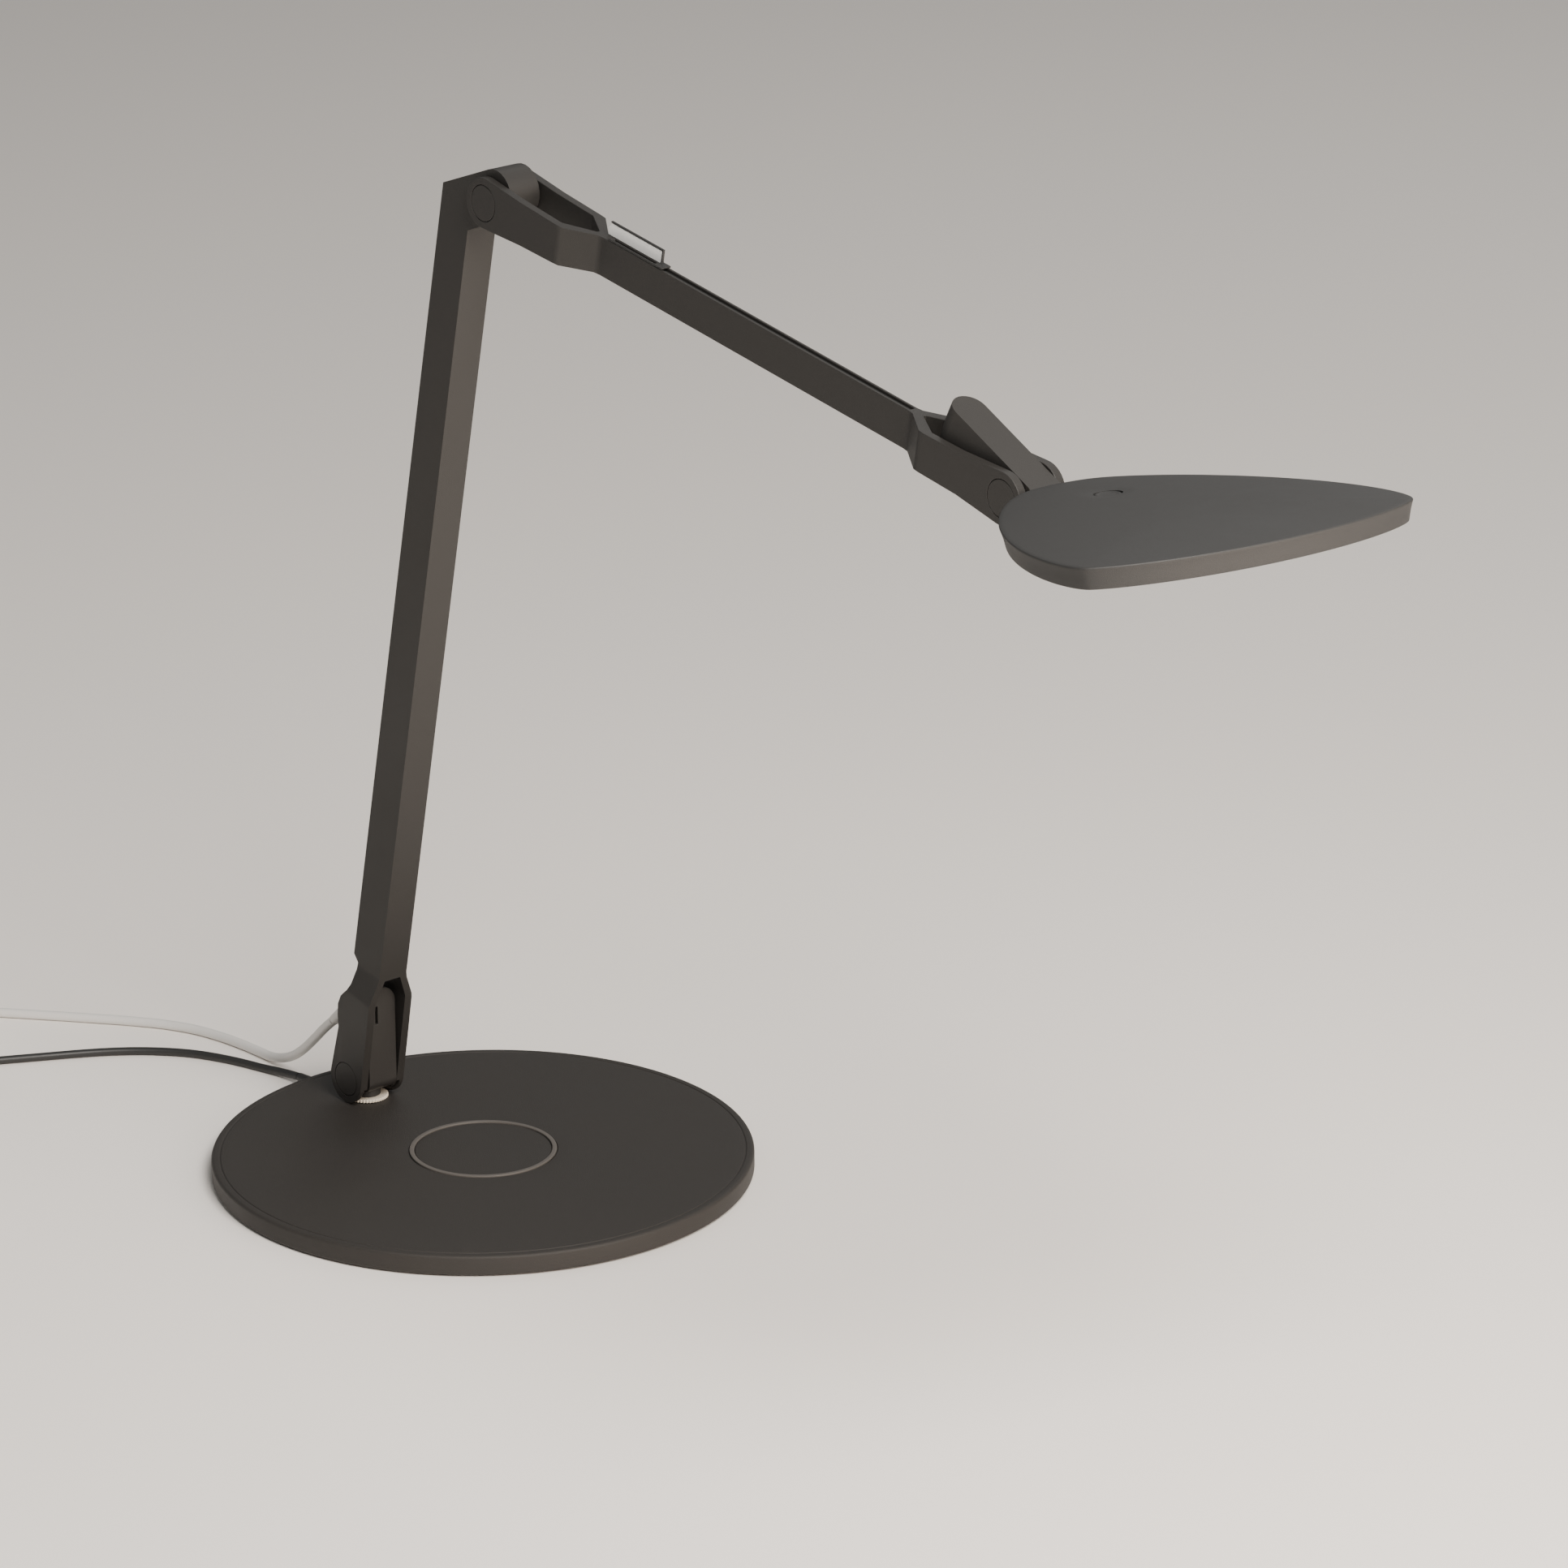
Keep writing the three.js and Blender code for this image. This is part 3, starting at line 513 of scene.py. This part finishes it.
def tie(name, centre, angle, r0, r1, z1, width):
    """A soft strap closed round the wound turns, which lie between r0 and r1 and below z1."""
    loop = []
    corners = [(r0, 0.45), (r1, 0.45), (r1, z1), (r0, z1)]
    for i, c in enumerate(corners):
        p = Vector(c)
        before = (Vector(corners[i - 1]) - p).normalized() * 2.6
        after = (Vector(corners[(i + 1) % 4]) - p).normalized() * 2.6
        for k in range(6):
            t = k / 5
            loop.append((1 - t) ** 2 * (p + before) + 2 * t * (1 - t) * p + t * t * (p + after))
    across = Vector((-math.sin(angle * DEG), math.cos(angle * DEG), 0))
    out = Vector((math.cos(angle * DEG), math.sin(angle * DEG), 0))
    origin = Vector((centre[0], centre[1], 0))
    middle = sum(loop, Vector((0, 0))) / len(loop)
    verts, faces = [], []
    thick = 0.45
    n = len(loop)
    for i, p in enumerate(loop):
        along = (loop[(i + 1) % n] - loop[i - 1]).normalized()
        normal = Vector((along.y, -along.x))
        if normal.dot(p - middle) < 0:
            normal = -normal
        for side, w in ((-1, -width / 2), (-1, width / 2), (1, width / 2), (1, -width / 2)):
            q = p + normal * side * thick
            verts.append(origin + out * q.x + Vector((0, 0, max(0.02, q.y))) + across * w)
    for i in range(n):
        j = (i + 1) % n
        for k in range(4):
            m = (k + 1) % 4
            faces.append((4 * i + k, 4 * i + m, 4 * j + m, 4 * j + k))
    piece = mesh_piece(name, verts, faces, 40)
    return place(piece, "base", "dark_plastic")


lamp_ties = [
    tie("lamp_lead_tie_%d" % i, LAMP_COIL, angle, 18.4, 32.0, 21.4, 5)
    for i, angle in enumerate((-20, 205))
]
base_ties = [
    tie("base_lead_tie_%d" % i, BASE_COIL, angle, 15.5, 27.0, 18.0, 4)
    for i, angle in enumerate((60, 300))
]


def soft_box(name, cx, cy, lx, ly, z0, z1, corner, edge, taper=0.0):
    """A moulded body: a rounded plan with rounded upper and lower edges."""
    verts, faces, rows = [], [], []
    levels = []
    for k in range(6):
        a = k / 5 * math.pi / 2
        levels.append((edge * (1 - math.sin(a)), z0 + edge * (1 - math.cos(a))))
    for k in range(6):
        a = (5 - k) / 5 * math.pi / 2
        levels.append((edge * (1 - math.sin(a)), z1 - edge * (1 - math.cos(a))))
    for inset, z in levels:
        row = []
        hx, hy = lx / 2 - inset, ly / 2 - inset
        r = max(0.3, corner - inset)
        for qx, qy, a0 in ((1, 1, 0), (-1, 1, 90), (-1, -1, 180), (1, -1, 270)):
            for k in range(7):
                a = (a0 + 90 * k / 6) * DEG
                x = qx * (hx - r) + r * math.cos(a)
                y = qy * (hy - r) + r * math.sin(a)
                row.append(len(verts))
                verts.append((cx + x, cy + y * (1 - taper * (x / lx)), z))
        rows.append(row)
    n = len(rows[0])
    for low, high in zip(rows, rows[1:]):
        for i in range(n):
            j = (i + 1) % n
            faces.append((low[i], low[j], high[j], high[i]))
    faces.append(tuple(reversed(rows[0])))
    faces.append(tuple(rows[-1]))
    return mesh_piece(name, verts, faces, 40)


plug_body = soft_box("lamp_plug_body", PLUG_AT[0], PLUG_AT[1] - 27, 22.8, 31.8, 0.25, 18.15, 5, 3.2)
place(plug_body, "base", "white_pvc", ["lamp_plug"])
plug_sleeve = turned(
    "lamp_plug_sleeve",
    [(0, 0), (2.9, 0)] + [
        (2.9 + 1.2 * k / 8 - (0.35 if k % 2 else 0), 0.4 + 12.4 * k / 8) for k in range(9)
    ] + [(4.1, 14), (0, 14)],
    facing((0, -math.cos(0.42), math.sin(0.42)), (PLUG_AT[0], PLUG_AT[1] + 0.1, 3.55)),
    48, angle=60,
)
place(plug_sleeve, "base", "white_pvc")
usb_body = soft_box("base_plug_grip", USB_AT[0] + 21, USB_AT[1], 23.8, 14.8, 0.25, 7.55, 2.4, 1.6)
place(usb_body, "base", "black_pvc", ["base_plug"])
usb_sleeve = turned(
    "base_plug_sleeve",
    [(0, 0), (2.2, 0)] + [
        (2.2 + 0.9 * k / 6 - (0.25 if k % 2 else 0), 0.4 + 9 * k / 6) for k in range(7)
    ] + [(3.1, 11), (0, 11)],
    facing((1, 0, 0), (USB_AT[0] + 0.1, USB_AT[1], 3.6)),
    40, angle=60,
)
place(usb_sleeve, "base", "black_pvc")
pins = [refined("lamp_plug_pin_" + s, "base", "steel", 0.35) for s in "ab"]
usb_shell = refined("base_plug_shell", "base", "steel", 0.18, 2)

relief = turned(
    "lamp_lead_relief",
    rounded([(0, -2), (3.35, -2), (3.35, 7.3), (3.1, 8.2), (2.9, 14), (2.35, 23.9), (0, 23.9)], 0.5, 4),
    facing(back_down, RELIEF_FROM), 64,
)
place(relief, "bracket", "white_pvc", ["lamp_cord_relief"])
gland = turned(
    "base_lead_gland",
    rounded([(0, 0), (2.65, 0), (2.65, 6), (2.4, 10), (1.95, 17.9), (0, 17.9)], 0.4, 4),
    facing((-1, 0, 0), (-109, 0, 3.6)), 48,
)
place(gland, "base", "black_pvc", ["base_cord_gland"])


# ---------- base ----------

cover = turned("base_shell", rounded([
    (0, 7.3), (110.5, 7.3), (110.5, 0.7), (BASE_R - 0.7, 0.7), (BASE_R, 1.4),
    (BASE_R, BASE_TOP), (BASE_R - 3.2, BASE_TOP), (BASE_R - 3.45, BASE_TOP - 0.3),
    (BASE_R - 3.85, BASE_TOP - 0.3), (BASE_R - 4.1, BASE_TOP),
    (105, BASE_TOP), (95, BASE_TOP), (80, BASE_TOP), (65, BASE_TOP), (50, BASE_TOP), (38, BASE_TOP),
    (CHARGE_RING_R + 0.35, BASE_TOP), (CHARGE_RING_R + 0.3, 8.6), (CHARGE_RING_R - 2.3, 8.6),
    (CHARGE_RING_R - 2.35, BASE_TOP), (24, BASE_TOP), (16, BASE_TOP), (8, BASE_TOP), (0, BASE_TOP),
], [0, 0.3, 0.3, 0.5, 0.5, 2.2, 0.3, 0.1, 0.1, 0.3] + [0] * 6 + [0.25, 0, 0, 0.25, 0, 0, 0, 0], 6),
    at_mm(0, 0, 0), 256)
place(cover, "base", "base_paint", ["base_cover"])

ring = turned("charging_ring_band", rounded([
    (CHARGE_RING_R - 2, 8.9), (CHARGE_RING_R - 2, 9.75), (CHARGE_RING_R, 9.75), (CHARGE_RING_R, 8.9),
    (CHARGE_RING_R - 2, 8.9),
], [0, 0.35, 0.35, 0, 0], 4), at_mm(0, 0, 0), 192)
place(ring, "base", "ring_grey", ["charging_ring"])

foot = turned("foot_pad", rounded([(0, 0), (107, 0), (107, 1), (0, 1)], 0.3, 3), at_mm(0, 0, 0), 160)
place(foot, "base", "rubber", ["base_foot_pad"])

swivel = turned(
    "swivel_collar",
    rounded([(4.35, 9.5), (4.35, 10.8), (8.85, 10.75), (8.85, 9.5), (4.35, 9.5)],
            [0, 0.2, 0.35, 0.2, 0], 4),
    at_mm(SWIVEL_X, 0, 0), 288,
    ripple=lambda r, a: -TOOTH_DEEP * (0.5 + 0.5 * math.cos(TEETH * a)) if r > TOOTH_FROM_R else 0,
)
swivel_hub = turned(
    "swivel_hub",
    rounded([(4.35, 10.9), (4.35, 14.65), (5.6, 14.65), (5.6, 10.9), (4.35, 10.9)],
            [0, 0.2, 0.3, 0.2, 0], 4),
    at_mm(SWIVEL_X, 0, 0), 96,
)
place(swivel_hub, "bracket", "dark_plastic")
place(swivel, "bracket", "pale_plastic", ["swivel_disc"])


# ---------- arms, bracket and neck ----------

refined("base_bracket", "bracket", "dark_paint", 0.7, 3, 40)
refined("lower_arm", "lower_arm", "dark_paint", 0.5, 3)
refined("lower_arm_cover", "lower_arm", "dark_plastic", 0.25, 2)
refined("upper_arm", "upper_arm", "dark_paint", 0.45, 3)
refined("upper_arm_cover", "upper_arm", "dark_plastic", 0.2, 2)
refined("label_frame", "upper_arm", "dark_plastic", 0.12, 2)
refined("label_tab", "upper_arm", "tag_white", 0.1, 2)
refined("head_neck", "neck", "dark_paint", 0.8, 3, 40)

cap_face = FORK_HALF - 0.02
for prefix, pivot, body in (
    ("base", BASE_PIVOT, "lower_arm"),
    ("elbow", ELBOW_PIVOT, "upper_arm"),
    ("head", HEAD_PIVOT, "upper_arm"),
):
    for side, s in (("right", -1), ("left", 1)):
        cap = turned(
            "%s_cap_%s" % (prefix, side),
            rounded([
                (0, 10.62), (CAP_R, 10.62), (CAP_R, cap_face), (CAP_R - 0.6, cap_face), (0, cap_face),
            ], [0, 0.1, 0.22, 0, 0], 4),
            facing((0, s, 0), (pivot[0], 0, pivot[1])), 96,
        )
        place(cap, body, "dark_paint", ["%s_pivot_cap_%s" % (prefix, side)])


# ---------- lamp head ----------

tilt = HEAD_TILT * DEG
swivel_at = (
    HEAD_PIVOT[0] + HEAD_SWIVEL_AT * math.cos(tilt), 0, HEAD_PIVOT[1] + HEAD_SWIVEL_AT * math.sin(tilt),
)
HEAD = at_mm(*swivel_at) @ Matrix.Rotation(-tilt, 4, "Y") @ Matrix.Rotation(HEAD_TURN * DEG, 4, "Z")


def head_point(angle, inset=0.0, shrink=1.0):
    """A point of the head's outline, where its tangent faces the angle."""
    h = HEAD_MEAN_R - inset
    slope = 0
    for k, size in HEAD_LOBES.items():
        h += size * math.cos(k * angle)
        slope -= k * size * math.sin(k * angle)
    return (
        HEAD_CENTRE + shrink * (h * math.cos(angle) - slope * math.sin(angle)),
        shrink * (h * math.sin(angle) + slope * math.cos(angle)),
    )


def crown(shrink):
    """How high the head's top lies where the outline is shrunk by this much."""
    return HEAD_RIM + HEAD_CROWN * (1 - shrink ** 2)


def head_stack(name, levels, steps=240, dimple=False, move=None):
    """A closed stack of head outlines, each given as (inset, height, shrink)."""
    verts, faces = [], []
    for inset, z, shrink in levels:
        for i in range(steps):
            x, y = head_point(2 * math.pi * i / steps, inset, shrink)
            drop = 0
            if dimple and z >= HEAD_RIM - 0.01:
                far = math.hypot(x - BUTTON_AT, y)
                drop = DIMPLE_DEEP * math.exp(-(far / DIMPLE_R) ** 4)
            verts.append((x, y, z - drop))
    n = len(levels)
    for k in range(n - 1):
        for i in range(steps):
            j = (i + 1) % steps
            a, b = k * steps, (k + 1) * steps
            faces.append((a + i, a + j, b + j, b + i))
    low = len(verts)
    verts.append((HEAD_CENTRE, 0, levels[0][1]))
    verts.append((HEAD_CENTRE, 0, levels[-1][1]))
    for i in range(steps):
        j = (i + 1) % steps
        faces.append((low, j, i))
        faces.append((low + 1, (n - 1) * steps + i, (n - 1) * steps + j))
    return mesh_piece(name, verts, faces, move=move)


def cut_away(piece, cutter):
    """Takes the cutter's form out of the piece, and the cutter out of the scene."""
    modifier = piece.modifiers.new("cut", "BOOLEAN")
    modifier.operation = "DIFFERENCE"
    modifier.solver = "EXACT"
    modifier.object = cutter
    apply_modifiers(piece)
    bpy.data.objects.remove(cutter)
    return piece


def clip_rear(piece, x):
    """Keeps what lies ahead of x in the head's own frame, with a closed face there."""
    work = bmesh.new()
    work.from_mesh(piece.data)
    origin = HEAD @ (Vector((x, 0, 0)) * MM)
    normal = (HEAD.to_3x3() @ Vector((1, 0, 0))).normalized()
    found = bmesh.ops.bisect_plane(
        work, geom=work.verts[:] + work.edges[:] + work.faces[:],
        plane_co=origin, plane_no=normal, clear_inner=True,
    )
    edges = [e for e in found["geom_cut"] if isinstance(e, bmesh.types.BMEdge)]
    bmesh.ops.holes_fill(work, edges=edges, sides=0)
    bmesh.ops.recalc_face_normals(work, faces=work.faces)
    work.to_mesh(piece.data)
    work.free()
    return piece


side_levels = [
    (2.6, HEAD_LOW, 1), (2.3, HEAD_LOW + 0.06, 1), (2.0, HEAD_LOW + 0.3, 1), (1.85, HEAD_LOW + 0.7, 1),
    (1.2, HEAD_LOW + 4, 1), (0.35, HEAD_RIM - 1.4, 1), (0.08, HEAD_RIM - 0.8, 1),
    (0.1, HEAD_RIM - 0.45, 1),
    (0.3, HEAD_RIM - 0.15, 1), (0.65, HEAD_RIM, 1),
]
top_levels = [(0.65, crown(shrink), shrink) for shrink in [1 - 0.02 * k for k in range(1, 50)]]
shell = head_stack("head_housing", side_levels + top_levels, dimple=True, move=HEAD)
pocket = head_stack("pocket", [(4.5, HEAD_LOW - 3, 1), (4.3, HEAD_RIM - 2.2, 1)], move=HEAD)
cut_away(shell, clip_rear(pocket, KEEP_REAR))
hole = turned(
    "hole", [(0, -12), (BUTTON_HOLE_R, -12), (BUTTON_HOLE_R, 20), (0, 20)],
    HEAD @ at_mm(BUTTON_AT, 0, 0), 96,
)
cut_away(shell, hole)
pin_hole = turned("pin_hole", [(0, -20), (3.3, -20), (3.3, 3.4), (0, 3.4)], HEAD, 48)
cut_away(shell, pin_hole)
shade(shell.data, 30)
place(shell, "head", "head_paint", ["head_shell"])

diffuser = clip_rear(head_stack(
    "head_lens",
    [(5.0, HEAD_LOW + 0.6, 1), (4.8, HEAD_LOW + 0.8, 1), (4.8, HEAD_LOW + 2.1, 1)], move=HEAD,
), KEEP_REAR + 0.4)
place(diffuser, "head", "diffuser", ["head_diffuser"])

button_top = crown(0.63) - 0.45
button = turned(
    "power_button",
    rounded([
        (0, HEAD_LOW + 5.3), (3, HEAD_LOW + 5.3), (3, HEAD_RIM - 2.6), (BUTTON_R, HEAD_RIM - 2.0),
        (BUTTON_R, button_top), (4.2, button_top + 0.12), (3.4, button_top - 0.1), (0, button_top - 0.2),
    ], [0, 0, 0, 0.2, 0.35, 0.4, 0.4, 0], 5),
    HEAD @ at_mm(BUTTON_AT, 0, 0), 96,
)
place(button, "button", "head_paint", ["head_button"])


# ---------- CAD nodes that stay as they are ----------

kept = {
    "base_weight": "cast_steel", "charging_coil": "copper", "charger_board": "board",
    "swivel_bolt": "steel",
    "head_swivel_pin": "steel", "head_light_guide": "diffuser", "led_board": "board",
}
for prefix in ("base", "elbow", "head"):
    kept[prefix + "_pivot_pin"] = "steel"
    for side in ("right", "left"):
        kept["%s_pivot_washer_%s" % (prefix, side)] = "pale_plastic"
for node, slot in kept.items():
    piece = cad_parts[node]
    for k in range(len(piece.material_slots)):
        piece.material_slots[k].link = "OBJECT"
        piece.material_slots[k].material = mat[slot]


# ---------- floor and light ----------

FLOOR_HALF = 6


def floor():
    """A plain pale floor in metres, which is no piece of the lamp."""
    material, nodes, links, shader = new_material("floor")
    shader.inputs["Roughness"].default_value = 0.6
    noise = nodes.new("ShaderNodeTexNoise")
    noise.inputs["Scale"].default_value = 6
    ramp = nodes.new("ShaderNodeValToRGB")
    ramp.color_ramp.elements[0].color = (0.90, 0.86, 0.82, 1)
    ramp.color_ramp.elements[1].color = (0.92, 0.88, 0.84, 1)
    links.new(noise.outputs["Fac"], ramp.inputs["Fac"])
    links.new(ramp.outputs["Color"], shader.inputs["Base Color"])
    mesh = bpy.data.meshes.new("floor")
    far = FLOOR_HALF
    corners = [(-far, -far, 0), (far, -far, 0), (far, far, 0), (-far, far, 0)]
    mesh.from_pydata(corners, [], [(0, 1, 2, 3)])
    piece = bpy.data.objects.new("floor", mesh)
    mesh.materials.append(material)
    bpy.context.scene.collection.objects.link(piece)


def area(name, at, target, size, power, colour):
    """A square soft light, in metres and watts."""
    data = bpy.data.lights.new(name, "AREA")
    data.size = size
    data.energy = power
    data.color = colour
    light = bpy.data.objects.new(name, data)
    light.location = at
    light.rotation_euler = (Vector(target) - Vector(at)).to_track_quat("-Z", "Y").to_euler()
    bpy.context.scene.collection.objects.link(light)


floor()
area("key", (1.35, -0.3, 1.5), (0.15, -0.05, 0), 1.0, 64, (1.0, 0.95, 0.89))
area("front", (1.25, 0.15, 0.3), (0.0, 0, 0.22), 0.8, 13, (1.0, 0.84, 0.70))
area("fill", (-1.4, -1.6, 1.7), (0.1, 0, 0.2), 2.0, 3, (0.95, 0.97, 1.0))
area("rim", (-0.6, 1.8, 1.8), (0.1, 0, 0.25), 1.8, 10, (1.0, 0.99, 0.97))
world = bpy.data.worlds.new("studio")
world.use_nodes = True
world.node_tree.nodes["Background"].inputs["Color"].default_value = (0.62, 0.61, 0.59, 1)
world.node_tree.nodes["Background"].inputs["Strength"].default_value = 0.42
bpy.context.scene.world = world
